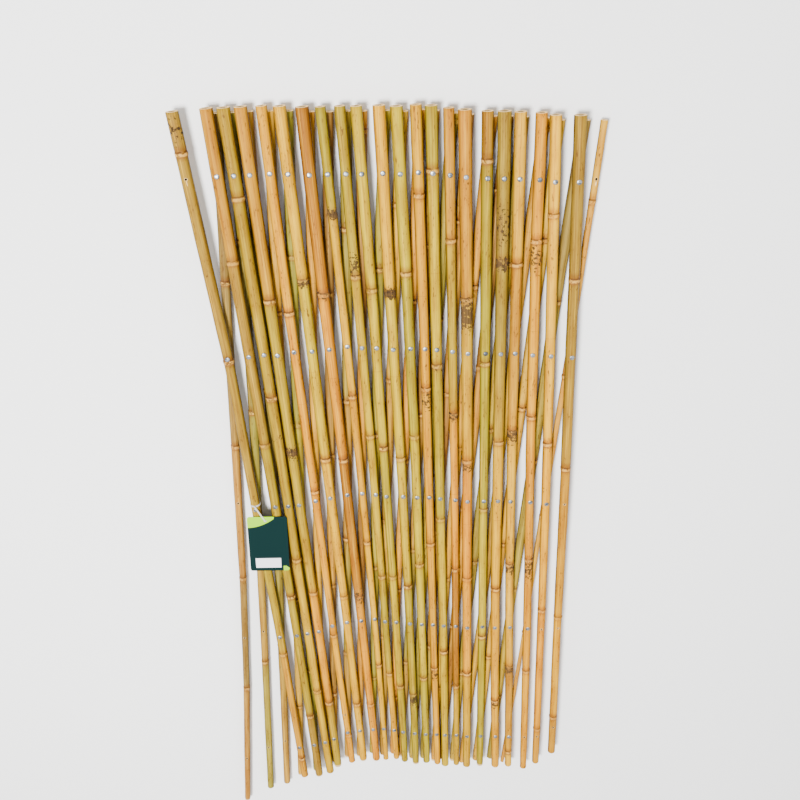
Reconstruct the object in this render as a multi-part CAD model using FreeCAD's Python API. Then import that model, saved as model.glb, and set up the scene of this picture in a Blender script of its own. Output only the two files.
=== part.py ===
import FreeCAD, Part
import math
import os

# An expanding trellis fence of bamboo canes, lying on its back and folded nearly shut. Two layers
# of canes cross each other, and a nail through each crossing is its hinge. +Y runs to the thick
# ends of the canes, +X to the right as seen from the front, and +Z up through the nails.

# Driving dimensions, in millimetres. A cane is thick at the top and loses some diameter a metre.
ROW_RISE = 258.5        # from one nail row to the next
FRONT_RUN = 16.0        # how far an even front cane runs to the right in one row
BACK_RUN = 7.5          # how far an even back cane runs to the left in one row
ROWS = 5                # holes in each cane
THINNING = 3.4          # diameter lost in a metre
FRONT_TOP = 88.0        # front cane above its first hole
BACK_TOP = 79.0         # back cane above its first hole
LAYER_GAP = 1.5         # between the front and the back layer, so that the rings pass each other
RING_PROUD = 0.5        # how far the ring of a cane's joint stands out
RING_HALF = 3.0         # half the width of that ring
END_WALL = 3.4          # wall of the hollow at a cut end
END_DEPTH = 25.0        # depth of the hollow at a cut end
LEAST_BORE = 1.0        # a thinner hollow than this radius is not made
HOLE_RADIUS = 1.5
SHANK_FIT = 0.05        # a nail's shank in its hole, all round
HEAD_RADIUS = 3.5
HEAD_RIM = 0.4
HEAD_HEIGHT = 1.5
HEAD_FLAT = 1.1         # radius of the flat that the hammer leaves
HEAD_PLAY = 0.05        # between the head and its dent
TAIL_RADIUS = 2.4       # the riveted end of a nail, under the back cane
TAIL_HEIGHT = 1.4
TAIL_FLAT = 0.9
SEAT_DEPTH = 0.5        # how deep a head or tail is driven into its cane
SEAT_MARGIN = 0.3       # the dent round a head or tail
TAIL_PLAY = 0.1         # between the tail and its cane, so that the cane can turn

# Front canes from left to right: diameter at the top, shift of its nails to the right and up from
# the even lattice, length below its last hole, and its rings, below its first hole.
FRONT_CANES = [
    (17.0, 26, -19, 78, (-35, 270, 600, 835, 1090)),
    (18.0, 25, -9, 83, (120, 415, 710, 985)),
    (18.0, 15, -2, 81, (30, 335, 635, 925)),
    (18.0, 4, 3, 73, (180, 430, 705, 955)),
    (15.5, 0, 10, 78, (200, 505, 800, 1040)),
    (17.5, -4, 13, 78, (150, 445, 715, 960)),
    (18.0, -6, 13, 81, (170, 445, 715, 960)),
    (14.0, -9, 10, 80, (55, 335, 605, 870)),
    (15.0, -14, 5, 75, (145, 405, 675, 890)),
    (16.0, -19, 2, 77, (165, 425, 675, 920)),
    (17.0, -17, 0, 80, (170, 445, 695, 940)),
    (17.0, -16, -1, 74, (140, 405, 650, 900)),
    (16.0, -16, -1, 78, (30, 325, 610, 880)),
    (17.0, -18, -1, 81, (-5, 285, 560, 840)),
    (15.0, -14, -3, 78, (90, 365, 660, 920)),
    (18.5, -12, -3, 80, (175, 445, 675, 885)),
    (16.5, -3, -3, 78, (-25, 275, 535, 800)),
    (18.5, 2, -2, 81, (115, 410, 695, 950)),
    (17.0, 6, -2, 78, (120, 390, 645, 870, 1080)),
    (16.5, 16, -3, 83, (85, 365, 635, 880)),
    (16.5, 21, -4, 71, (45, 410, 740, 1020)),
    (17.5, 31, -3, 67, (140, 455, 755, 990)),
]

# Back canes from left to right, in the same way, with the first ring below the first hole.
BACK_CANES = [
    (15.0, -32, 10, 113, 155),
    (16.0, -23, 4, 109, 95),
    (16.5, -14, 0, 113, 60),
    (16.0, -7, -6, 88, 205),
    (17.0, -2, -9, 85, 120),
    (15.0, 5, -10, 68, 25),
    (16.5, 9, -7, 76, 175),
    (17.0, 15, -1, 78, 80),
    (15.5, 18, 2, 82, 230),
    (16.0, 21, 5, 77, 140),
    (17.0, 20, 5, 80, 45),
    (16.0, 21, 7, 74, 190),
    (15.5, 19, 6, 78, 105),
    (17.0, 15, 5, 81, 215),
    (16.5, 11, 3, 78, 65),
    (16.0, 8, 1, 84, 160),
    (17.0, 2, 0, 78, 20),
    (16.5, -4, -1, 81, 125),
    (15.0, -10, -1, 86, 220),
    (16.0, -17, -3, 79, 85),
    (17.0, -18, -4, 75, 180),
    (10.5, -20, -7, 82, 30),
]
BACK_INTERNODES = (285, 270, 255, 245)      # between the rings of a back cane, from the top

# The outer canes have holes that no nail fills. These are the shifts of the canes that would
# cross them there, counted on from both ends of each layer.
SPARE_FRONT = {-3: (20, -76), -2: (30, -42), -1: (29, -22), 22: (37, 0)}
SPARE_BACK = {-1: (-51, 16), 22: (-24, -8), 23: (-29, -6), 24: (-34, 16)}

# The hang tag: a card that lies over the first front canes, on a plastic tie.
TAG_WIDTH = 64.0
TAG_HEIGHT = 106.0
TAG_THICK = 0.5
TAG_CORNER = 4.0        # radius of its corners
TAG_LEFT = 15.0         # from the nail at the tie to the card's left edge
TAG_BELOW = 11.0        # from that nail down to the card's top edge
TAG_HOLE_IN = 29.0      # from the card's left edge to its hole
TAG_HOLE_DOWN = 8.0     # from the card's top edge to its hole
TAG_HOLE_RADIUS = 2.5
TAG_OVER = 0.3          # from the highest ring beneath the card to the card
TAG_ROW = 2             # the row of the nail at the tie
TIE_THICK = 0.7
TIE_WIDTH = 2.4
TIE_FIT = 0.1           # the tie's loop round its cane
TIE_ABOVE = 8.0         # from that nail up to the loop
TIE_PIN_RADIUS = 1.0     # also of the post on the loop, narrower than the strap
TIE_CAP_RADIUS = 3.6    # larger than the card's hole, so that it stays on


def front_shift(i):
    if 0 <= i < len(FRONT_CANES):
        return FRONT_CANES[i][1:3]
    return SPARE_FRONT[i]


def back_shift(j):
    if 0 <= j < len(BACK_CANES):
        return BACK_CANES[j][1:3]
    return SPARE_BACK[j]


def crossing(i, j):
    """Where front cane i crosses back cane j: a place for each, added, so every mesh is a parallelogram."""
    front_x, front_y = front_shift(i)
    back_x, back_y = back_shift(j)
    x = BACK_RUN * i + front_x + FRONT_RUN * j + back_x
    y = ROW_RISE * (i - j) + front_y + back_y
    return FreeCAD.Vector(x, y, 0)


def nailed(i, j):
    return 0 <= i < len(FRONT_CANES) and 0 <= j < len(BACK_CANES)


def front_crossings(i):
    return [(i, i - 1 + row) for row in range(ROWS)]


def back_crossings(j):
    return [(j + 1 - row, j) for row in range(ROWS)]


def interpolate(places, values, s):
    """A straight-line value between the places, carried on past both ends."""
    last = len(places) - 2
    k = 0
    while k < last and s > places[k + 1]:
        k += 1
    share = (s - places[k]) / (places[k + 1] - places[k])
    return values[k] + share * (values[k + 1] - values[k])


class Cane:
    """A cane's line in plan: s runs down from its first hole, and a bend lies at each ring."""

    def __init__(self, crossings, top_diameter, above, below, rings):
        self.crossings = crossings
        holes = [crossing(i, j) for i, j in crossings]
        self.start = holes[0]
        self.along = (holes[-1] - holes[0]).normalize()
        self.across = FreeCAD.Vector(-self.along.y, self.along.x, 0)
        self.hole_places = [(hole - self.start).dot(self.along) for hole in holes]
        self.hole_offsets = [(hole - self.start).dot(self.across) for hole in holes]
        self.top = -above
        self.bottom = self.hole_places[-1] + below
        inside = RING_HALF * 2
        self.rings = [s for s in rings if self.top + inside < s < self.bottom - inside]
        self.top_diameter = top_diameter
        self.bends = [self.top] + self.rings + [self.bottom]
        self.bend_offsets = [interpolate(self.hole_places, self.hole_offsets, s) for s in self.bends]

    def radius(self, s):
        return (self.top_diameter - THINNING * (s - self.top) / 1000) / 2

    def centre(self, s):
        offset = interpolate(self.bends, self.bend_offsets, s)
        return self.start + self.along * s + self.across * offset

    def sections(self):
        """(place, radius) of each section: both ends, and three at every ring."""
        found = [(self.top, self.radius(self.top))]
        for s in self.rings:
            found.append((s - RING_HALF, self.radius(s - RING_HALF)))
            found.append((s, self.radius(s) + RING_PROUD))
            found.append((s + RING_HALF, self.radius(s + RING_HALF)))
        found.append((self.bottom, self.radius(self.bottom)))
        return found


def make_front(i):
    diameter, _, _, below, rings = FRONT_CANES[i]
    return Cane(front_crossings(i), diameter, FRONT_TOP, below, rings)


def make_back(j):
    diameter, _, _, below, first_ring = BACK_CANES[j]
    rings = [first_ring - BACK_INTERNODES[0], first_ring]
    for length in BACK_INTERNODES[1:]:
        rings.append(rings[-1] + length)
    return Cane(back_crossings(j), diameter, BACK_TOP, below, rings)


FRONT = [make_front(i) for i in range(len(FRONT_CANES))]
BACK = [make_back(j) for j in range(len(BACK_CANES))]


def plan_bounds():
    """The plan's extremes, from every section's widest points."""
    xs = []
    ys = []
    for cane in FRONT + BACK:
        for s, radius in cane.sections():
            centre = cane.centre(s)
            xs += [centre.x - radius * abs(cane.along.y), centre.x + radius * abs(cane.along.y)]
            ys += [centre.y - radius * abs(cane.along.x), centre.y + radius * abs(cane.along.x)]
    return min(xs), max(xs), min(ys), max(ys)


def depth_below_back_top():
    """How far the lowest point lies under the flat top of the back layer: a ring or a nail's tail."""
    depths = []
    for cane in BACK:
        for s, radius in cane.sections():
            depths.append(cane.radius(s) + radius)
        for (i, j), s in zip(cane.crossings, cane.hole_places):
            if nailed(i, j):
                depths.append(2 * cane.radius(s) - SEAT_DEPTH + TAIL_PLAY + TAIL_HEIGHT)
    return max(depths)


LEFT, RIGHT, LOW, HIGH = plan_bounds()
ORIGIN = FreeCAD.Vector((LEFT + RIGHT) / 2, (LOW + HIGH) / 2, 0)
BACK_TOP_Z = depth_below_back_top()             # the back canes' tops lie in this plane
FRONT_UNDER_Z = BACK_TOP_Z + LAYER_GAP          # and the front canes' undersides in this one


def front_axis_z(cane, s):
    return FRONT_UNDER_Z + cane.radius(s)


def back_axis_z(cane, s):
    return BACK_TOP_Z - cane.radius(s)


def place(cane, s, z):
    point = cane.centre(s) - ORIGIN
    return FreeCAD.Vector(point.x, point.y, z)


def cane_body(cane, axis_z):
    """Straight skins from each circular section to the next, closed at the cut ends."""
    wires = []
    for s, radius in cane.sections():
        circle = Part.makeCircle(radius, place(cane, s, axis_z(cane, s)), cane.along)
        wires.append(Part.Wire([circle]))
    return Part.makeLoft(wires, True, True)


def end_hollow(cane, axis_z, s, inward):
    """The hollow that shows at a cut end, or nothing where the cane is too thin."""
    bore = cane.radius(s) - END_WALL
    if bore < LEAST_BORE:
        return []
    return [Part.makeCylinder(bore, END_DEPTH * 2, place(cane, s - inward * END_DEPTH, axis_z(cane, s)),
                              cane.along * inward)]


def upright(radius, point, low, high):
    start = FreeCAD.Vector(point.x, point.y, low)
    return Part.makeCylinder(radius, high - low, start)


def hole_point(i, j):
    return crossing(i, j) - ORIGIN


def front_crest(cane, s):
    return FRONT_UNDER_Z + 2 * cane.radius(s)


def back_underside(cane, s):
    return BACK_TOP_Z - 2 * cane.radius(s)


def front_cuts(cane):
    """Nail holes, and the dent under each nail's head."""
    cuts = []
    reach = cane.top_diameter
    for (i, j), s in zip(cane.crossings, cane.hole_places):
        point = hole_point(i, j)
        crest = front_crest(cane, s)
        cuts.append(upright(HOLE_RADIUS, point, FRONT_UNDER_Z - reach / 2, crest + reach / 2))
        if nailed(i, j):
            cuts.append(upright(HEAD_RADIUS + SEAT_MARGIN, point, crest - SEAT_DEPTH, crest + reach / 2))
    return cuts


def back_cuts(cane):
    """Nail holes, and the dent over each nail's tail."""
    cuts = []
    reach = cane.top_diameter
    for (i, j), s in zip(cane.crossings, cane.hole_places):
        point = hole_point(i, j)
        under = back_underside(cane, s)
        cuts.append(upright(HOLE_RADIUS, point, under - reach / 2, BACK_TOP_Z + reach / 2))
        if nailed(i, j):
            cuts.append(upright(TAIL_RADIUS + SEAT_MARGIN, point, under - reach / 2, under + SEAT_DEPTH))
    return cuts


def finished_cane(cane, axis_z, cuts):
    cuts = cuts + end_hollow(cane, axis_z, cane.top, -1) + end_hollow(cane, axis_z, cane.bottom, 1)
    return cane_body(cane, axis_z).cut(cuts)


def bulged_edge(start, end):
    """A quarter round from start to end, as seen from the side, that leaves start level."""
    slope = math.sqrt(0.5)
    middle = FreeCAD.Vector(start.x + (end.x - start.x) * slope, 0, end.z + (start.z - end.z) * slope)
    return Part.Arc(start, middle, end).toShape()


def nail(i, j):
    """One nail, turned: a domed head on the front cane, a shank, and a riveted tail under the back cane."""
    front, back = FRONT[i], BACK[j]
    head_z = front_crest(front, front.hole_places[front.crossings.index((i, j))]) - SEAT_DEPTH + HEAD_PLAY
    tail_z = back_underside(back, back.hole_places[back.crossings.index((i, j))]) + SEAT_DEPTH - TAIL_PLAY
    shank = HOLE_RADIUS - SHANK_FIT

    def at(r, z):
        return FreeCAD.Vector(r, 0, z)

    corners = [
        at(TAIL_RADIUS, tail_z), at(shank, tail_z), at(shank, head_z), at(HEAD_RADIUS, head_z),
        at(HEAD_RADIUS, head_z + HEAD_RIM),
    ]
    top = [at(HEAD_FLAT, head_z + HEAD_HEIGHT), at(0, head_z + HEAD_HEIGHT)]
    foot = [at(0, tail_z - TAIL_HEIGHT), at(TAIL_FLAT, tail_z - TAIL_HEIGHT)]
    edges = [Part.makeLine(*pair) for pair in zip(corners, corners[1:])]
    edges += [bulged_edge(top[0], corners[-1]), Part.makeLine(*top), Part.makeLine(top[1], foot[0])]
    edges += [Part.makeLine(*foot), bulged_edge(foot[1], corners[0])]
    face = Part.Face(Part.Wire(Part.sortEdges(edges)[0]))
    solid = face.revolve(FreeCAD.Vector(0, 0, 0), FreeCAD.Vector(0, 0, 1), 360)
    solid.translate(hole_point(i, j))
    return solid


def tag_nail():
    return FRONT[0].crossings[TAG_ROW]


def tag_under_z():
    """The card lies just over the highest front cane that it covers at rest."""
    nail_point = crossing(*tag_nail())
    left = nail_point.x - TAG_LEFT
    top = nail_point.y - TAG_BELOW
    crests = []
    for cane in FRONT:
        s = (FreeCAD.Vector(cane.start.x, top, 0) - cane.start).dot(cane.along)
        if left - cane.top_diameter < cane.centre(s).x < left + TAG_WIDTH + cane.top_diameter:
            crests.append(front_crest(cane, s))
    return max(crests) + RING_PROUD + TAG_OVER


def tag_hole_point():
    point = hole_point(*tag_nail())
    return FreeCAD.Vector(point.x - TAG_LEFT + TAG_HOLE_IN, point.y - TAG_BELOW - TAG_HOLE_DOWN, tag_under_z())


def hang_tag():
    hole = tag_hole_point()
    corner = FreeCAD.Vector(hole.x - TAG_HOLE_IN, hole.y + TAG_HOLE_DOWN - TAG_HEIGHT, hole.z)
    card = Part.makeBox(TAG_WIDTH, TAG_HEIGHT, TAG_THICK, corner)
    uprights = [edge for edge in card.Edges if abs(edge.tangentAt(edge.FirstParameter).z) > 0.9]
    card = card.makeFillet(TAG_CORNER, uprights)
    return card.cut(Part.makeCylinder(TAG_HOLE_RADIUS, TAG_THICK * 3, hole - FreeCAD.Vector(0, 0, TAG_THICK)))


def tag_tie():
    """A loop round the first front cane, a post on it, a level strap to the card's hole, and a capped pin."""
    cane = FRONT[0]
    s = cane.hole_places[TAG_ROW] - TIE_ABOVE
    inner = cane.radius(s) + TIE_FIT
    start = place(cane, s - TIE_WIDTH / 2, front_axis_z(cane, s))
    loop = Part.makeCylinder(inner + TIE_THICK, TIE_WIDTH, start, cane.along)
    loop = loop.cut(Part.makeCylinder(inner, TIE_WIDTH * 3, start - cane.along * TIE_WIDTH, cane.along))
    hole = tag_hole_point()
    over_card = hole.z + TAG_THICK + TIE_FIT        # also above the head of the nail beside the loop
    loop_top = place(cane, s, start.z + inner)
    saddle = FreeCAD.Vector(loop_top.x, loop_top.y, over_card)
    ahead = (FreeCAD.Vector(hole.x, hole.y, over_card) - saddle).normalize()
    side = FreeCAD.Vector(-ahead.y, ahead.x, 0) * (TIE_WIDTH / 2)
    near = saddle - ahead * (TIE_WIDTH / 2)
    far = FreeCAD.Vector(hole.x, hole.y, over_card) + ahead * (TIE_WIDTH / 2)
    sole = Part.Face(Part.makePolygon([near - side, far - side, far + side, near + side, near - side]))
    strap = sole.extrude(FreeCAD.Vector(0, 0, TIE_THICK))
    post = upright(TIE_PIN_RADIUS, loop_top, loop_top.z, over_card + TIE_THICK)
    cap_z = hole.z - TIE_FIT - TIE_THICK
    pin = upright(TIE_PIN_RADIUS, hole, cap_z, over_card + TIE_THICK)
    cap = upright(TIE_CAP_RADIUS, hole, cap_z, cap_z + TIE_THICK)
    return loop.fuse([post, strap, pin, cap]).removeSplitter()


def solid_of(shape):
    return shape.Solids[0] if len(shape.Solids) == 1 else shape


def export(name, shape):
    if not shape.isValid():
        print("not valid:", name)
    shape.exportStep("parts/" + name + ".step")


def main():
    os.makedirs("parts", exist_ok=True)
    for i, cane in enumerate(FRONT):
        body = solid_of(finished_cane(cane, front_axis_z, front_cuts(cane)))
        nails = [nail(*pair) for pair in cane.crossings if nailed(*pair)]
        export(f"front_cane_{i + 1:02d}", Part.makeCompound([body] + nails))
    for j, cane in enumerate(BACK):
        export(f"back_cane_{j + 1:02d}", solid_of(finished_cane(cane, back_axis_z, back_cuts(cane))))
    export("hang_tag", solid_of(hang_tag()))
    export("tag_tie", solid_of(tag_tie()))
    print("size", round(RIGHT - LEFT, 2), round(HIGH - LOW, 2), "back top", round(BACK_TOP_Z, 3))


if __name__ == "__main__":
    main()
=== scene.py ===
"""An expanding bamboo trellis fence, lying on its back: the finish of its canes, nails and hang tag."""
import math

import bpy
import numpy as np
from mathutils import Matrix, Vector


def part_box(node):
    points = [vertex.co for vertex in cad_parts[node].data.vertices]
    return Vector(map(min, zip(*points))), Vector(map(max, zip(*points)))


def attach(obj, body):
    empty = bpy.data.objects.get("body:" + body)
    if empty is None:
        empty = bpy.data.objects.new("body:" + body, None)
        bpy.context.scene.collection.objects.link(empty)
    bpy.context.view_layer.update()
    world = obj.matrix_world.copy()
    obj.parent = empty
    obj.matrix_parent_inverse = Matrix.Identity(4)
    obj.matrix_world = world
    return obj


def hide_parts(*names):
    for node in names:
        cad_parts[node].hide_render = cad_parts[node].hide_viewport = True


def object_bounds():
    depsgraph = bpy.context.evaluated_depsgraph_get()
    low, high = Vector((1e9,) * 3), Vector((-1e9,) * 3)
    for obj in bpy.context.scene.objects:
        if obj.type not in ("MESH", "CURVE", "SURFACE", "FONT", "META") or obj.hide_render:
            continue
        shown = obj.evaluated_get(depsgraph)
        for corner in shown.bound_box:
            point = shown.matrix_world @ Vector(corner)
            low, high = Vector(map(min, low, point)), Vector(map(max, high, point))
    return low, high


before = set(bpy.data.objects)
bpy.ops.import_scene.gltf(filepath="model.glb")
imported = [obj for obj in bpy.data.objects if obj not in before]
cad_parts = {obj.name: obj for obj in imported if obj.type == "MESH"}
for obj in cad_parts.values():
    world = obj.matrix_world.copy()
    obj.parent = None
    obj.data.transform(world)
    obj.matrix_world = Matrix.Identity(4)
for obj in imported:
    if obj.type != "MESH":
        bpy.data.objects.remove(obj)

CAD_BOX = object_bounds()
MM = 0.001

# The camera stands over the thick ends of the canes and looks down along them.
CAMERA_PLACE = (-0.0433, 0.8448, 1.2796)
CAMERA_AHEAD = (0.0346, -0.4466, -0.8941)
CAMERA_UP = (0.0091, 0.8947, -0.4466)
FRAME_PIXELS = 800
FOCAL_PIXELS = 920
SENSOR_WIDTH = 36.0

# A cane's skin. Lengths are in metres.
AROUND = 28                     # points round a cane
AROUND_FINE = 60                # and round one with an open nail hole
STEP = 9 * MM                   # between rows of points on a plain stretch
RING_STEP = 1.1 * MM            # and beside a ring
RING_REACH = 8 * MM
HOLE_STEP = 0.45 * MM           # and over an open nail hole
HOLE_REACH = 2.7 * MM
HOLE_RADIUS = 1.5 * MM
HOLE_DEPTH = 5 * MM
HOLE_SHADE_RIM = 0.45 * MM            # a band round the hole's edge, painted dark as shade
HOLE_CHAMFER = 0.3 * MM         # how far in its wall slopes
LEAST_STEP = 0.3 * MM           # rows closer than this are left out
SCAR_HEIGHT = 0.35 * MM         # the thin line that the fallen sheath left
RIDGE_HEIGHT = 0.42 * MM        # the swelling past it
GROOVE_DEPTH = 0.45 * MM        # the flat that a branch pressed into the next stretch
KNOB_HEIGHT = 0.6 * MM          # what is left of the branch
END_BEVEL = 0.5 * MM
BORE_DEPTH = 25 * MM
END_WALL = 3.4 * MM
LEAST_BORE = 1.0 * MM

# How the solids of the frame are read.
LEVEL_GAP = 0.05 * MM           # points of one circle lie closer together than this along the cane
CIRCLE_POINTS = 16              # the least number of points in a circle of the solid
RING_HALF = 3 * MM              # from a ring's circle to the one on either side of it
RING_SWELL = 0.3 * MM           # the least that it is wider than they are
HEAD_STAND = 0.7 * MM           # a nail's head stands at least this far over the cane's crest
HEAD_REACH = 4 * MM             # and no point of it is farther off the cane's centre line
HEAD_GAP = 9 * MM               # between the points of one head and the next
TAIL_REACH = 3 * MM
EDGE_POINTS = 10                # the least number of points on a hole's edge
EDGE_ERROR = 0.07 * MM
ROW_RISE = 258.5 * MM           # between rows of nails along a cane
LATEST_FIRST_NAIL = 150 * MM    # a first nail past this is the second row's

NAIL_AROUND = 20
HEAD_RADIUS = 3.7 * MM
HEAD_RISE = 1.5 * MM
SHANK_RADIUS = 1.42 * MM
TAIL_RADIUS = 2.35 * MM
TAIL_HEIGHT = 1.35 * MM
HEAD_SINK = 0.15 * MM
HAMMER_DEPTH = 0.28 * MM
HAMMER_WIDTH = 1.1 * MM
HAMMER_OFFSET = 0.9             # in millimetres, off the head's middle
HEAD_TIP = 0.05                 # slope of a head that was struck askew

# Bamboo colours, in linear light.
TINTS = {
    "o": (0.60, 0.256, 0.000),    # orange straw
    "g": (0.64, 0.312, 0.000),    # golden straw
    "y": (0.66, 0.365, 0.008),    # pale yellow
    "p": (0.62, 0.280, 0.000),    # peach
    "t": (0.45, 0.210, 0.006),    # tan
    "b": (0.29, 0.118, 0.004),    # brown, weathered
    "v": (0.32, 0.228, 0.006),    # olive green
    "n": (0.47, 0.310, 0.003),    # green yellow
    "a": (0.29, 0.175, 0.014),    # ash olive
}
CLOUD_SHADE = (0.70, 0.58, 0.44)
STREAK_SHADE = (0.64, 0.50, 0.38)
STREAK_GOLD = (0.90, 0.52, 0.05)
FIBRE_SHADE = (0.56, 0.44, 0.34)
WORN_SHADE = (0.66, 0.48, 0.34)
DARK_BROWN = (0.085, 0.030, 0.006)
SPOT_BLACK = (0.014, 0.009, 0.006)
RING_PALE = (0.74, 0.40, 0.08)
RING_BROWN = (0.20, 0.080, 0.014)
MOULD_HAZE = (0.20, 0.105, 0.035)
CUT_WOOD = (0.86, 0.60, 0.28)
PORE_BROWN = (0.45, 0.22, 0.07)
# Painted shade: the near black of the cut ends' hollows and the open nail holes.
HOLE_PAINTED_SHADE = (0.010, 0.006, 0.004)
# Painted shade: the back canes, which lie under the front ones, get greyer colours.
BACK_PAINTED_SHADE = (-0.04, 0.0, 0.020)    # the back canes are greyer
# Painted shade: how much darker a cane's flanks are, and how far round the dark one starts.
PAINTED_SHADE_RIGHT = 0.84
PAINTED_SHADE_LEFT = 0.68
PAINTED_SHADE_TURN = 0.15
# Each cane's colours from its thick end to its thin end.
FRONT_TINTS = (
    "aaavtt tavvaa vvvnng tvvovt googog gngggg bobooo vgoggo vnnvgn nnvnvn gnnvvn "
    "nvnnvn goopoo vnvnnv tvobnv tnognn bvvnvn aagoot ytyyty opoopo yygoty aatgtn"
).split()
BACK_TINTS = (
    "aatata vavtva tvavtv gotygy vvnvvn ooggog bbobob vvtvtn obobot nvnvnv ygtyty "
    "pogoop tbtvtt nvvnvn btbtvb oggygo bboobt vnvvnv gogtgo yyggyy avvnva googog"
).split()
# Mould: front cane counted from 0, distance below its first nail in mm, reach in mm, strength.
MOULD = (
    (2, 405, 10, 0.5), (3, 432, 14, 0.9), (5, 156, 8, 0.8), (6, 172, 12, 0.6), (6, 717, 30, 0.7),
    (7, 55, 9, 1.0), (8, 128, 26, 0.7), (10, 172, 10, 1.0), (10, 955, 16, 1.0), (12, 345, 24, 0.7),
    (12, 895, 18, 0.6), (14, 372, 9, 0.9), (15, 200, 30, 1.0), (15, 458, 10, 0.8), (17, 70, 50, 0.6),
    (17, 122, 12, 1.0), (17, 960, 9, 0.8), (18, 400, 16, 0.9), (18, 655, 16, 0.8), (18, 878, 12, 0.9),
    (19, 110, 26, 0.7), (19, 655, 26, 0.8), (20, 500, 12, 0.4), (0, 620, 12, 0.5), (9, 176, 10, 0.5),
    (13, 292, 8, 0.5), (0, -72, 26, 0.6),
)

ZINC_LIGHT = (0.31, 0.33, 0.35)
ZINC_DARK = (0.08, 0.09, 0.10)
TIE_LIGHT = (0.52, 0.50, 0.44)
TIE_DARK = (0.40, 0.38, 0.33)
CARD_GREEN = (0.001, 0.013, 0.0125)
CARD_LIME = (0.27, 0.54, 0.0)
CARD_WHITE = (0.74, 0.74, 0.76)
FLOOR_WHITE = (0.92, 0.92, 0.91)
FLOOR_REACH = 40.0              # from the origin to the floor's edge

# Lights: place, size across in metres and power in watts.
KEY_LIGHT = ((-0.8, 0.5, 2.7), 0.7, 240)
FILL_LIGHT = ((1.8, -0.6, 2.2), 2.0, 12)
ROOM_LIGHT = 1.0


class Field:
    """A socket's value in a material. Arithmetic on it adds the Math nodes."""

    def __init__(self, paint, socket):
        self.paint = paint
        self.socket = socket

    def maths(self, operation, *values):
        return self.paint.node("ShaderNodeMath", {"operation": operation}, dict(enumerate(values)))

    def __add__(self, other):
        return self.maths("ADD", self, other)

    def __sub__(self, other):
        return self.maths("SUBTRACT", self, other)

    def __mul__(self, other):
        return self.maths("MULTIPLY", self, other)

    def __truediv__(self, other):
        return self.maths("DIVIDE", self, other)

    def __abs__(self):
        return self.maths("ABSOLUTE", self)

    __radd__ = __add__
    __rmul__ = __mul__


class Paint:
    """A material and its nodes."""

    def __init__(self, name):
        self.material = bpy.data.materials.new(name)
        self.material.use_nodes = True
        self.tree = self.material.node_tree
        self.shader = self.tree.nodes["Principled BSDF"]

    def node(self, kind, settings=None, inputs=None, output=0):
        """A new node: its settings first, then the values or links of its sockets."""
        node = self.tree.nodes.new(kind)
        for key, value in (settings or {}).items():
            setattr(node, key, value)
        for key, value in (inputs or {}).items():
            self.feed(node.inputs[key], value)
        return Field(self, node.outputs[output])

    def feed(self, socket, value):
        if isinstance(value, Field):
            self.tree.links.new(value.socket, socket)
        else:
            socket.default_value = value

    def set(self, **sockets):
        for name, value in sockets.items():
            self.feed(self.shader.inputs[name.replace("_", " ").title().replace("Ior", "IOR")], value)

    def attribute(self, name, output="Fac"):
        return self.node("ShaderNodeAttribute", {"attribute_name": name}, output=output)

    def noise(self, vector, scale, detail=3.0, roughness=0.55):
        """Soft noise about a half, on a vector that is stretched by scale."""
        stretched = self.node("ShaderNodeVectorMath", {"operation": "MULTIPLY"}, {0: vector, 1: scale})
        return self.node("ShaderNodeTexNoise", {"noise_dimensions": "3D"},
                         {"Vector": stretched, "Scale": 1.0, "Detail": detail, "Roughness": roughness})

    def step(self, value, low, high):
        """0 below low and 1 above high, with a smooth rise between them. It falls where low > high."""
        return self.node("ShaderNodeMapRange", {"interpolation_type": "SMOOTHSTEP", "clamp": True},
                         {"Value": value, "From Min": low, "From Max": high})

    def mix(self, share, first, second, blend="MIX"):
        """Colours mixed: first where share is 0, second where it is 1."""
        return self.node("ShaderNodeMix", {"data_type": "RGBA", "blend_type": blend},
                         {0: share, 6: first, 7: second}, output=2)

    def bump(self, height, strength, distance):
        sockets = {"Strength": strength, "Distance": distance, "Height": height}
        self.set(normal=self.node("ShaderNodeBump", {}, sockets))


def rgba(colour):
    return (*colour, 1.0)


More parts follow.
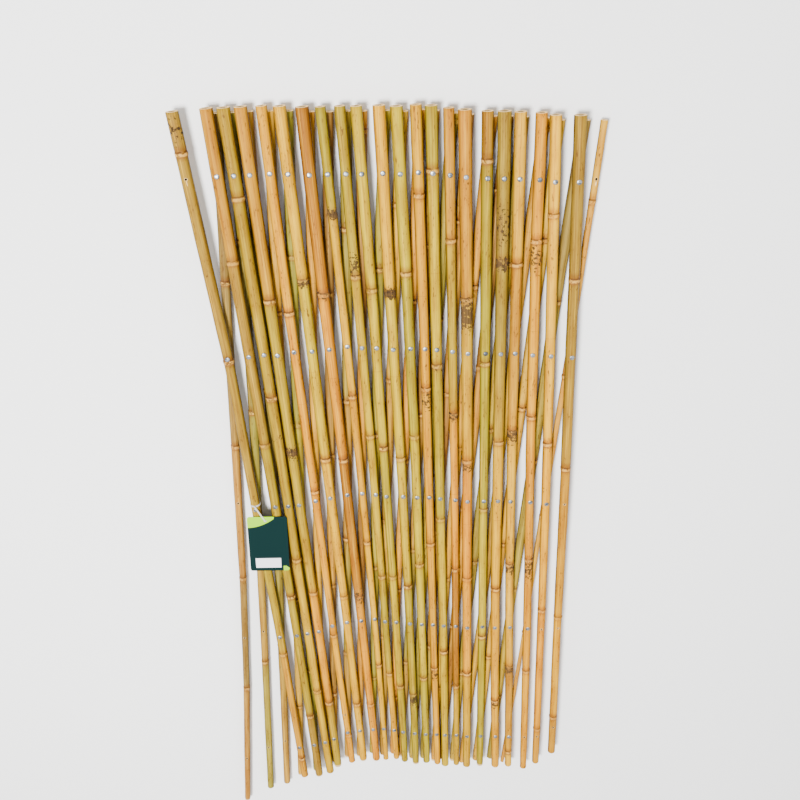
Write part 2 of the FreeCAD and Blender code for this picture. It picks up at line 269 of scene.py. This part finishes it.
def bamboo_paint():
    """Bamboo: fibres along the cane, ragged pale rings with a broken dark line, specks, mould and pale cut
    ends, with painted shade in the hollows and nail holes and, through the tint, on the flanks."""
    paint = Paint("bamboo_skin")
    skin = paint.attribute("skin", "Vector")
    # The tint attribute holds each cane's colours with painted shade on its flanks.
    tint = paint.attribute("tint", "Color")
    ring = paint.attribute("ring")
    scar = paint.attribute("scar")
    mould = paint.attribute("mould")
    cut = paint.attribute("cut")
    fibre = paint.noise(skin, (2400, 2400, 26), 2.0)
    streak = paint.noise(skin, (560, 560, 6), 3.0)
    cloud = paint.noise(skin, (110, 110, 16), 4.0)
    grain = paint.noise(skin, (900, 900, 420), 3.0, 0.6)
    speck = paint.noise(skin, (480, 480, 150), 2.0, 0.4)
    ragged = paint.noise(skin, (300, 300, 300), 3.0)
    comb = paint.noise(skin, (760, 760, 60), 3.0)
    patch = paint.noise(skin, (170, 170, 210), 2.0)

    colour = paint.mix(paint.step(cloud, 0.36, 0.68) * 0.80, tint, rgba(CLOUD_SHADE), "MULTIPLY")
    colour = paint.mix(paint.step(streak, 0.48, 0.70) * 0.70, colour, rgba(STREAK_SHADE), "MULTIPLY")
    colour = paint.mix(paint.step(streak, 0.46, 0.28) * 0.30, colour, rgba(STREAK_GOLD))
    colour = paint.mix(paint.step(fibre, 0.50, 0.74) * 0.70, colour, rgba(FIBRE_SHADE), "MULTIPLY")
    speck_share = paint.step(speck, 0.62, 0.68) * paint.step(cloud, 0.42, 0.60)
    colour = paint.mix(speck_share * 0.80, colour, rgba(DARK_BROWN))

    from_ring = ring + (comb - 0.5) * 9.0 + (patch - 0.5) * 6.0 * scar
    worn = paint.step(abs(from_ring), 13.0, 3.0) * (0.45 + scar * 0.50)
    colour = paint.mix(worn, colour, rgba(WORN_SHADE), "MULTIPLY")
    close = ring + (ragged - 0.5) * 2.4
    pale = paint.step(abs(close - 2.6), 3.6, 2.4) * paint.step(ragged + patch * 0.5, 0.62, 0.80)
    colour = paint.mix(pale * (0.28 + scar * 0.42), colour, rgba(RING_PALE))
    above = paint.step(from_ring, -12.0, -2.0) * paint.step(from_ring, 1.6, -0.4)
    above = above * paint.step(grain, 0.44, 0.60)
    colour = paint.mix(above * (0.28 + scar * 0.62), colour, rgba(RING_BROWN))
    line = paint.step(abs(close + 0.6), 1.9, 0.8) * paint.step(patch, 0.34, 0.50)
    colour = paint.mix(line * (0.62 + scar * 0.36), colour, rgba(DARK_BROWN))
    lower = paint.step(abs(close - 6.4), 1.9, 0.7) * paint.step(ragged, 0.38, 0.54)
    colour = paint.mix(lower * (0.45 + scar * 0.50), colour, rgba(RING_BROWN))
    rust = paint.step(from_ring, 17.0, 5.0) * paint.step(from_ring, 3.0, 6.0)
    rust = rust * paint.step(grain, 0.53, 0.64)
    colour = paint.mix(rust * scar * 0.85, colour, rgba(RING_BROWN))

    spots = paint.step(mould + (ragged - 0.5) * 1.7 + (patch - 0.5) * 1.5, 0.62, 0.72)
    colour = paint.mix(spots * 0.93, colour, rgba(SPOT_BLACK))
    haze = paint.step(mould, 0.10, 0.95) * paint.step(streak, 0.36, 0.58)
    colour = paint.mix(haze * 0.36, colour, rgba(MOULD_HAZE))

    pores = paint.noise(skin, (1900, 1900, 0.0), 1.0)
    wood = paint.mix(paint.step(pores, 0.52, 0.66) * 0.5, rgba(CUT_WOOD), rgba(PORE_BROWN))
    # Painted shade: the hollows of the cut ends and the open nail holes are near black.
    wood = paint.mix(paint.step(cut, 1.2, 2.0), wood, rgba(HOLE_PAINTED_SHADE))
    colour = paint.mix(paint.step(cut, 0.3, 0.7), colour, wood)

    rough = 0.56 + (grain - 0.5) * 0.25 + spots * 0.25 + paint.step(cut, 0.3, 0.7) * 0.35
    paint.set(base_color=colour, roughness=rough, specular_ior_level=0.1)
    relief = fibre * 0.5 + streak * 0.8 - speck_share * 0.5 - line * 1.4 + pale * ragged * 1.8
    paint.bump(relief, 0.6, 0.0005)
    return paint.material


def steel_paint():
    """Zinc-coated steel: a dull silver with grey marks where the hammer struck."""
    paint = Paint("zinc_nail")
    place = paint.node("ShaderNodeTexCoord", output="Object")
    dull = paint.noise(place, (700, 700, 700), 3.0)
    mark = paint.noise(place, (300, 300, 300), 2.0)
    colour = paint.mix(paint.step(mark, 0.46, 0.60), rgba(ZINC_LIGHT), rgba(ZINC_DARK))
    paint.set(base_color=colour, metallic=0.8, roughness=0.36 + (dull - 0.5) * 0.3)
    paint.bump(dull + mark, 0.5, 0.0003)
    return paint.material


def card_paint(low, high):
    """The tag's card: dark green, with plain lime corners at its top left and its foot, and a blank white
    panel."""
    paint = Paint("printed_card")
    place = paint.node("ShaderNodeTexCoord", output="Object")
    x = (paint.node("ShaderNodeSeparateXYZ", {}, {0: place}) - low[0]) / (high[0] - low[0])
    y = (paint.node("ShaderNodeSeparateXYZ", {}, {0: place}, output=1) - low[1]) / (high[1] - low[1])
    top = paint.step(y - x * x * 0.35, 0.800, 0.808) * paint.step(x - y * 0.35, 0.335, 0.325)
    foot = paint.step(y + x * 0.55, 0.600, 0.595) * paint.step(x, 0.845, 0.852) * paint.step(y, 0.09, 0.085)
    colour = paint.mix(top, rgba(CARD_GREEN), rgba(CARD_LIME))
    colour = paint.mix(foot, colour, rgba(CARD_LIME))
    panel = paint.step(abs(x - 0.47), 0.325, 0.32) * paint.step(abs(y - 0.147), 0.090, 0.087)
    colour = paint.mix(panel, colour, rgba(CARD_WHITE))
    fibre = paint.noise(place, (1500, 1500, 1500), 2.0)
    paint.set(base_color=colour, roughness=0.55 + (fibre - 0.5) * 0.12, specular_ior_level=0.08)
    paint.bump(fibre, 0.12, 0.0002)
    return paint.material


def tie_paint():
    """The tag's tie: dull milky plastic."""
    paint = Paint("milky_plastic")
    place = paint.node("ShaderNodeTexCoord", output="Object")
    cloud = paint.noise(place, (300, 300, 300), 2.0)
    colour = paint.mix(cloud, rgba(TIE_LIGHT), rgba(TIE_DARK))
    paint.set(base_color=colour, roughness=0.32 + (cloud - 0.5) * 0.1)
    paint.bump(cloud, 0.1, 0.0003)
    return paint.material


def node_points(name):
    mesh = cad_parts[name].data
    flat = np.empty(len(mesh.vertices) * 3)
    mesh.vertices.foreach_get("co", flat)
    return flat.reshape(-1, 3)


def runs(values, gap):
    """The sorted order of values, cut where two neighbours are more than gap apart."""
    order = np.argsort(values)
    breaks = np.nonzero(np.diff(values[order]) > gap)[0] + 1
    return np.split(order, breaks)


class Cane:
    """A cane of the frame, measured on its solid: s is the distance from its thick end, in metres."""

    def __init__(self, name, number, front):
        self.name = name
        self.number = number
        self.front = front
        self.points = node_points(name)
        middle = (self.points.max(axis=0) + self.points.min(axis=0)) / 2
        plan = self.points[:, :2] - middle[:2]
        self.along = np.linalg.svd(plan - plan.mean(axis=0), full_matrices=False)[2][0]
        if self.along[1] > 0:
            self.along = -self.along
        self.across = np.array([-self.along[1], self.along[0]])
        self.middle = middle[:2]
        place = plan @ self.along
        self.first = place.min()
        self.s = place - self.first
        self.side = plan @ self.across
        self.measure()

    def measure(self):
        """The solid's own circles: one at each end, and three at a ring, the middle one wider."""
        self.length = self.s.max()
        found = []
        for run in runs(self.s, LEVEL_GAP):
            if len(run) >= CIRCLE_POINTS:
                side = self.side[run]
                found.append((np.median(self.s[run]), (side.max() + side.min()) / 2, np.ptp(side) / 2))
        found = np.array(found)
        ends = found[[0, -1]]
        found = found[found[:, 2] > 0.8 * np.interp(found[:, 0], ends[:, 0], ends[:, 2])]
        rings = []
        sections = [ends[0], ends[1]]
        for before, at, after in zip(found[:-2], found[1:-1], found[2:]):
            gaps = np.array([at[0] - before[0], after[0] - at[0]])
            even = np.all(np.abs(gaps - RING_HALF) < 0.2 * MM)
            if even and at[2] - max(before[2], after[2]) > RING_SWELL:
                rings.append(at[0])
                sections += [before, at, after]
        self.rings = np.array(rings)
        self.places, self.offsets, radii = np.array(sorted(sections, key=lambda section: section[0])).T
        plain = np.abs(self.places[:, None] - self.rings[None, :]).min(axis=1) > 1 * MM
        self.slope = np.polyfit(self.places[plain], radii[plain], 1)
        end = self.points[self.s < 0.1 * MM, 2]
        level = (end.min() + end.max()) / 2
        self.plane = level - self.radius(0) * (1 if self.front else -1)

    def radius(self, s):
        return np.polyval(self.slope, s)

    def height(self, s):
        """The axis's height: a front cane lies on its layer's plane, and a back cane hangs under it."""
        return self.plane + self.radius(s) * (1 if self.front else -1)

    def offset(self, s):
        return np.interp(s, self.places, self.offsets)

    def centre(self, s):
        s = np.atleast_1d(s)
        plan = self.middle + self.along * (s + self.first)[:, None] + self.across * self.offset(s)[:, None]
        return np.column_stack([plan, self.height(s)])

    def nail_tops(self):
        """The middle of the top of each nail's head, which stands over the cane's crest and rings."""
        over = self.points[:, 2] > self.plane + 2 * self.radius(self.s) + HEAD_STAND
        chosen = self.points[over & (np.abs(self.side - self.offset(self.s)) < HEAD_REACH)]
        tops = []
        for run in runs(chosen[:, :2] @ self.along, HEAD_GAP):
            head = chosen[run]
            middle = (head[:, :2].max(axis=0) + head[:, :2].min(axis=0)) / 2
            tops.append(np.append(middle, head[:, 2].max()))
        return tops

    def holes(self, nails):
        """The place s of each hole that no nail fills: many points stand a hole's radius off it."""
        rise = self.points[:, 2] - self.height(self.s)
        side = self.side - self.offset(self.s)
        near = (rise > 0.8 * self.radius(self.s)) & (np.abs(side) < 1.1 * HOLE_RADIUS)
        spots = np.arange(0, self.length, 0.1 * MM)
        off = np.abs(np.hypot(self.s[near][None, :] - spots[:, None], side[near][None, :]) - HOLE_RADIUS)
        counts = (off < EDGE_ERROR).sum(axis=1)
        likely = spots[counts >= EDGE_POINTS]
        if not len(likely):
            return []
        middles = [likely[run].mean() for run in runs(likely, 2 * HOLE_RADIUS)]
        return [s for s in middles if self.to_nearest(nails, s) > HEAD_REACH]

    def to_nearest(self, nails, s):
        return np.min(np.hypot(*(nails[:, :2] - self.centre(s)[0, :2]).T))


def skin_places(cane, holes):
    """Rows of points along the skin, closer beside the rings and over open holes."""
    rows = [np.arange(0, cane.length, STEP), [END_BEVEL, cane.length - END_BEVEL]]
    for ring in cane.rings:
        rows.append(np.arange(ring - RING_REACH, ring + RING_REACH, RING_STEP))
    for s in holes:
        rows.append(np.arange(s - HOLE_REACH, s + HOLE_REACH, HOLE_STEP))
    places = np.unique(np.round(np.concatenate(rows), 6))
    places = places[(places >= END_BEVEL) & (places <= cane.length - END_BEVEL)]
    keep = np.concatenate([[True], np.diff(places) > LEAST_STEP])
    keep[-1] = True
    return places[keep]


def bell(x, width):
    return np.exp(-(x / width) ** 2)


def wrapped(angle):
    return (angle + math.pi) % (2 * math.pi) - math.pi


def skin_relief(cane, s, angle, random):
    """How far the skin stands off a plain cone at (s, angle), as the sum of these. The sheath's scar is a
    thin bell at each ring, the swelling a wider bell past it, a branch's knob a bell in both directions,
    and its groove a bell round the cane that fades over two thirds of the next stretch. Slow waves round
    and along the cane make it uneven."""
    relief = np.zeros(np.broadcast(s, angle).shape)
    side = random.uniform(0, math.pi)
    ends = np.append(cane.rings, cane.length)
    for k, ring in enumerate(cane.rings):
        past = s - ring
        wobble = 0.7 * MM * np.sin(angle * 2 + k) + 0.4 * MM * np.sin(angle * 5 + 2 * k)
        relief = relief + SCAR_HEIGHT * bell(past + wobble, 0.9 * MM)
        relief = relief + RIDGE_HEIGHT * bell(past - 3.2 * MM, 2.6 * MM)
        relief = relief - 0.2 * MM * bell(past + 2.4 * MM, 1.5 * MM)
        around = wrapped(angle - side - k * math.pi)
        relief = relief + KNOB_HEIGHT * bell(around, 0.36) * bell(past - 2.4 * MM, 2.6 * MM)
        reach = (ends[k + 1] - ring) * 0.66
        fade = np.clip(1 - past / reach, 0, 1) * np.clip(past / (4 * MM), 0, 1)
        relief = relief - GROOVE_DEPTH * bell(around, 0.42) * fade
    phases = random.uniform(0, 2 * math.pi, 4)
    relief = relief + 0.12 * MM * np.sin(2 * angle + phases[0] + s * 9)
    relief = relief + 0.10 * MM * np.sin(3 * angle + phases[1] - s * 14)
    return relief + 0.10 * MM * np.sin(s * 41 + phases[2]) + 0.07 * MM * np.sin(s * 97 + phases[3])


def nearest_ring_number(cane, s):
    return np.abs(s[:, None] - cane.rings[None, :]).argmin(axis=1)


def nearest_ring(cane, s):
    """The signed distance from the nearest ring, in millimetres, positive towards the thin end."""
    return (s - cane.rings[nearest_ring_number(cane, s)]) / MM


def tint_along(cane, s, letters):
    """Colours blended from one stretch to the next, with a change at the rings."""
    colours = np.array([TINTS[letter] for letter in letters])
    stretch = np.zeros(len(s))
    for ring in cane.rings:
        stretch = stretch + 1 / (1 + np.exp(-(s - ring) / (5 * MM)))
    share = 0.6 * stretch + 0.4 * s / cane.length * len(cane.rings)
    place = np.clip(share, 0, len(letters) - 1)
    return np.column_stack([np.interp(place, range(len(letters)), colours[:, c]) for c in range(3)])


def build_mesh(name, vertices, faces, attributes):
    """A mesh object at the origin; attributes holds name: (kind, one value or tuple a vertex)."""
    mesh = bpy.data.meshes.new(name)
    mesh.from_pydata(vertices.tolist(), [], faces)
    for key, (kind, values) in attributes.items():
        layer = mesh.attributes.new(key, kind, "POINT")
        field = {"FLOAT": "value", "FLOAT_VECTOR": "vector", "FLOAT_COLOR": "color"}[kind]
        layer.data.foreach_set(field, np.ascontiguousarray(values, dtype=np.float32).ravel())
    mesh.polygons.foreach_set("use_smooth", np.ones(len(mesh.polygons), dtype=bool))
    mesh.validate()
    mesh.update()
    piece = bpy.data.objects.new(name, mesh)
    bpy.context.scene.collection.objects.link(piece)
    return piece


def tube_faces(rows, around, start=0):
    """Quads between each row of points and the next, and a fan of triangles to a pole at each end. The
    poles are the two vertices after the grid."""
    k, a = np.meshgrid(np.arange(rows - 1), np.arange(around), indexing="ij")
    b = (a + 1) % around
    quads = np.stack([k * around + a, k * around + b, (k + 1) * around + b, (k + 1) * around + a], axis=-1)
    a = np.arange(around)
    b = (a + 1) % around
    pole = rows * around
    first = np.stack([np.full(around, pole), b, a], axis=-1)
    last = (rows - 1) * around + np.stack([a, b, np.full(around, around + 1)], axis=-1)
    return (quads.reshape(-1, 4) + start).tolist() + (first + start).tolist() + (last + start).tolist()


def end_profile(radius):
    """(how far in, radius, cut) of the rows from inside a cut end out to its bevelled edge. The material
    takes a cut of 0 as skin, 1 as bare wood and 2 as a hollow painted dark as shade."""
    bore = radius - END_WALL
    if bore < LEAST_BORE:
        return [(0.9 * MM, 0.8 * MM, 1.6), (0.2 * MM, 1.3 * MM, 1.0), (0.0, radius - END_BEVEL, 1.0)]
    return [(BORE_DEPTH, bore * 0.9, 2.0), (BORE_DEPTH * 0.5, bore, 2.0), (1.5 * MM, bore, 1.8),
            (0.0, bore + 0.25 * MM, 1.0), (0.0, radius - END_BEVEL, 1.0)]


def mould_along(cane, s):
    """The strength of the mould at s: a bell over each of the cane's mouldy places."""
    mould = np.zeros(len(s))
    for number, place, reach, strength in MOULD:
        if cane.front and number == cane.number:
            spot = bell(s - cane.first_nail - place * MM, reach * MM)
            mould = np.maximum(mould, strength * spot)
    return mould


def painted_flank_shade(angle):
    """Painted shade: 1 on the crown, less on each flank by the fourth power of the sine of the angle."""
    right = np.clip(np.sin(angle - PAINTED_SHADE_TURN), 0, 1) ** 4
    left = np.clip(-np.sin(angle), 0, 1) ** 4
    return 1 - PAINTED_SHADE_RIGHT * right - PAINTED_SHADE_LEFT * left


def drill(s, across, rise, cut, holes):
    """The grid's rise and cut with its open nail holes: flat pits with a steep wall, the pit and a band
    round its edge painted dark as shade.
    """
    cut_grid = np.repeat(cut[:, None], across.shape[1], axis=1)
    for hole in holes:
        off = np.hypot(s[:, None] - hole, across)
        inside = (off < HOLE_RADIUS) & (rise > 0) & (cut == 0)[:, None]
        depth = HOLE_DEPTH * np.clip((HOLE_RADIUS - off) / HOLE_CHAMFER, 0, 1)
        rise = np.where(inside, rise - depth, rise)
        # Painted shade: the pit and a band round its edge take the hollow's dark colour.
        rim = (off < HOLE_RADIUS + HOLE_SHADE_RIM) & (rise > 0)
        cut_grid = np.where(rim, 2.0, cut_grid)
    return rise, cut_grid


def at_vertices(grid, poles):
    """A value at each vertex of a tube: the grid's, then those of its two poles."""
    return np.concatenate([grid.reshape(-1, *grid.shape[2:]), poles])


def spread(rows, around):
    """A value at each vertex of a tube from one at each of its rows."""
    return at_vertices(np.repeat(rows[:, None], around, axis=1), rows[[0, -1]])


def cane_piece(cane, letters, holes, paint):
    """A cane's whole skin as one closed grid, rows along it and points round it. A row lies at its place s
    on the centre line, in the plane across the cane, and its points stand radius + relief from that line,
    never past the CAD's box. The grid turns in at both cut ends and runs down the hollow to a pole."""
    random = np.random.default_rng(1000 + cane.number + (0 if cane.front else 500))
    around = AROUND_FINE if holes else AROUND
    angle = np.arange(around) * 2 * math.pi / around
    skin = skin_places(cane, holes)
    top = np.array(end_profile(cane.radius(0)))
    foot = np.array(end_profile(cane.radius(cane.length)))[::-1]
    s = np.concatenate([top[:, 0], skin, cane.length - foot[:, 0]])
    radius = np.concatenate([top[:, 1], cane.radius(skin), foot[:, 1]])
    cut = np.concatenate([top[:, 2], np.zeros(len(skin)), foot[:, 2]])
    relief = skin_relief(cane, s[:, None], angle[None, :], random) * (cut == 0)[:, None]
    reach = radius[:, None] + relief
    across = reach * np.sin(angle)
    rise, cut_grid = drill(s, across, reach * np.cos(angle), cut, holes)
    centre = cane.centre(s)
    points = np.empty((len(s), around, 3))
    points[..., 0] = centre[:, None, 0] + cane.across[0] * across
    points[..., 1] = centre[:, None, 1] + cane.across[1] * across
    points[..., 2] = centre[:, None, 2] + rise
    vertices = at_vertices(np.clip(points, *CAD_BOX), centre[[0, -1]])

    grain = np.empty((len(s), around, 3))
    grain[..., 0] = across
    grain[..., 1] = rise
    grain[..., 2] = s[:, None] + cane.number * 1.7 + (0 if cane.front else 40)
    turn = random.uniform(-0.5, 0.5)
    crown = 1 - 0.5 * np.clip(np.abs(wrapped(angle - turn)) / math.pi, 0, 1) ** 2
    mould = mould_along(cane, s)[:, None] * crown
    hue = np.clip(random.normal(1.0, 0.04, 3), 0.9, 1.1)
    scars = random.uniform(0.0, 1.0, len(cane.rings))
    # Painted shade: the back canes are made greyer than the front ones.
    tint = tint_along(cane, s, letters) * hue + (0.0 if cane.front else np.array(BACK_PAINTED_SHADE))
    # Painted shade: every cane's flanks are darker than its crown, the right flank most.
    tints_with_painted_shade = at_vertices(tint[:, None, :] * painted_flank_shade(angle)[None, :, None], tint[[0, -1]])
    attributes = {
        "skin": ("FLOAT_VECTOR", at_vertices(grain, grain[[0, -1], 0] * [0, 0, 1])),
        "tint": ("FLOAT_COLOR", np.column_stack([tints_with_painted_shade, np.ones(len(tints_with_painted_shade))])),
        "ring": ("FLOAT", spread(nearest_ring(cane, s), around)),
        "mould": ("FLOAT", at_vertices(mould, [0, 0])),
        "scar": ("FLOAT", spread(scars[nearest_ring_number(cane, s)], around)),
        "cut": ("FLOAT", at_vertices(cut_grid, cut[[0, -1]])),
    }
    piece = build_mesh("bamboo_" + cane.name, vertices, tube_faces(len(s), around), attributes)
    piece.data.materials.append(paint)
    return piece


def nail_profile(low, seat):
    """(height, radius) of a turned nail from its tail's underside to its head's top. Each end is a dome, a
    quarter of an ellipse."""
    turn = np.linspace(0.25, 1, 4) * math.pi / 2
    tail = [(low + TAIL_HEIGHT * (1 - math.cos(t)), TAIL_RADIUS * math.sin(t)) for t in turn]
    head = [(seat + HEAD_RISE * (0.3 + 0.7 * math.cos(t)), HEAD_RADIUS * math.sin(t))
            for t in reversed(turn)]
    rim = [(seat, SHANK_RADIUS), (seat, HEAD_RADIUS * 0.96), (seat + 0.12 * MM, HEAD_RADIUS)]
    return tail + [(low + TAIL_HEIGHT, SHANK_RADIUS)] + rim + head


def nails_piece(cane, tops, lows, paint):
    """All nails of a front cane in one mesh: each is a profile turned round an upright axis, its head
    tipped a little and dented by a bell off its middle."""
    random = np.random.default_rng(300 + cane.number)
    vertices = []
    faces = []
    start = 0
    angle = np.arange(NAIL_AROUND) * 2 * math.pi / NAIL_AROUND
    for top, low in zip(tops, lows):
        profile = np.array(nail_profile(low, top[2] - HEAD_RISE))
        tip = random.uniform(-HEAD_TIP, HEAD_TIP, 2)
        dent = random.uniform(-HAMMER_OFFSET, HAMMER_OFFSET, 2) * MM
        x = profile[:, 1, None] * np.cos(angle)
        y = profile[:, 1, None] * np.sin(angle)
        z = np.repeat(profile[:, 0, None], NAIL_AROUND, axis=1)
        poles = np.array([[0, 0, low], [0, 0, top[2]]])
        flat = np.concatenate([np.stack([x, y, z], axis=-1).reshape(-1, 3), poles])
        on_head = flat[:, 2] > top[2] - HEAD_RISE - 0.05 * MM
        on_dome = flat[:, 2] > top[2] - HEAD_RISE + 0.3 * MM
        dip = HAMMER_DEPTH * bell(np.hypot(flat[:, 0] - dent[0], flat[:, 1] - dent[1]), HAMMER_WIDTH)
        lean = flat[:, 0] * tip[0] + flat[:, 1] * tip[1]
        flat[:, 2] += np.where(on_head, lean - dip * on_dome - HEAD_SINK, 0)
        vertices.append(flat + [top[0], top[1], 0])
        faces += tube_faces(len(profile), NAIL_AROUND, start)
        start += len(flat)
    piece = build_mesh("nails_" + cane.name, np.concatenate(vertices), faces, {})
    piece.data.materials.append(paint)
    return piece


def outward(piece):
    """Turns the faces outwards where the grid's own order left them inwards."""
    mesh = piece.data
    flat = np.empty(len(mesh.vertices) * 3)
    mesh.vertices.foreach_get("co", flat)
    points = flat.reshape(-1, 3) - flat.reshape(-1, 3).mean(axis=0)
    mesh.calc_loop_triangles()
    corners = np.empty(len(mesh.loop_triangles) * 3, dtype=np.int32)
    mesh.loop_triangles.foreach_get("vertices", corners)
    a, b, c = points[corners.reshape(-1, 3)].transpose(1, 0, 2)
    if np.einsum("ij,ij->i", a, np.cross(b, c)).sum() < 0:
        mesh.flip_normals()


def build_canes():
    bamboo = bamboo_paint()
    steel = steel_paint()
    fronts = [Cane(f"front_cane_{n + 1:02d}", n, True) for n in range(len(FRONT_TINTS))]
    backs = [Cane(f"back_cane_{n + 1:02d}", n, False) for n in range(len(BACK_TINTS))]
    tops = [cane.nail_tops() for cane in fronts]
    nails = np.array([top for group in tops for top in group])
    for cane, group in zip(fronts, tops):
        first = min((np.array(top[:2]) - cane.middle) @ cane.along - cane.first for top in group)
        cane.first_nail = first if first < LATEST_FIRST_NAIL else first - ROW_RISE
    for cane, letters in zip(fronts + backs, FRONT_TINTS + BACK_TINTS):
        piece = cane_piece(cane, letters, cane.holes(nails), bamboo)
        outward(piece)
        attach(piece, cane.name)
        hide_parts(cane.name)
    for cane, group in zip(fronts, tops):
        lows = []
        for top in group:
            beside = np.hypot(*(cane.points[:, :2] - top[:2]).T) < TAIL_REACH
            lows.append(cane.points[beside, 2].min())
        piece = nails_piece(cane, group, lows, steel)
        outward(piece)
        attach(piece, cane.name)


def dress_tag():
    low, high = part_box("hang_tag")
    for name, paint in (("hang_tag", card_paint(low, high)), ("tag_tie", tie_paint())):
        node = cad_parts[name]
        for material_slot in node.material_slots:
            material_slot.material = paint


def build_floor():
    mesh = bpy.data.meshes.new("floor")
    corners = [(x * FLOOR_REACH, y * FLOOR_REACH, 0) for x, y in ((-1, -1), (1, -1), (1, 1), (-1, 1))]
    mesh.from_pydata(corners, [], [(0, 1, 2, 3)])
    floor = bpy.data.objects.new("floor", mesh)
    bpy.context.scene.collection.objects.link(floor)
    paint = Paint("pale_floor")
    paint.set(base_color=rgba(FLOOR_WHITE), roughness=0.9)
    mesh.materials.append(paint.material)


def area_light(name, place, size, power):
    """A round lamp that shines at the frame's origin."""
    data = bpy.data.lights.new(name, "AREA")
    data.shape = "DISK"
    data.size = size
    data.energy = power
    lamp = bpy.data.objects.new(name, data)
    bpy.context.scene.collection.objects.link(lamp)
    lamp.location = place
    lamp.rotation_euler = (-Vector(place)).to_track_quat("-Z", "Y").to_euler()


def light_scene():
    world = bpy.data.worlds.new("soft_room")
    bpy.context.scene.world = world
    world.use_nodes = True
    background = world.node_tree.nodes["Background"]
    background.inputs["Color"].default_value = (1.0, 1.0, 1.0, 1.0)
    background.inputs["Strength"].default_value = ROOM_LIGHT
    area_light("key", *KEY_LIGHT)
    area_light("fill", *FILL_LIGHT)


def place_camera():
    data = bpy.data.cameras.new("photo_camera")
    data.sensor_width = SENSOR_WIDTH
    data.lens = SENSOR_WIDTH * FOCAL_PIXELS / FRAME_PIXELS
    data.clip_start = 0.05
    camera = bpy.data.objects.new("photo_camera", data)
    bpy.context.scene.collection.objects.link(camera)
    ahead = Vector(CAMERA_AHEAD).normalized()
    right = ahead.cross(Vector(CAMERA_UP)).normalized()
    turned = Matrix((right, right.cross(ahead), -ahead)).transposed().to_4x4()
    camera.matrix_world = Matrix.Translation(CAMERA_PLACE) @ turned
    bpy.context.scene.camera = camera


place_camera()
build_canes()
dress_tag()
build_floor()
light_scene()
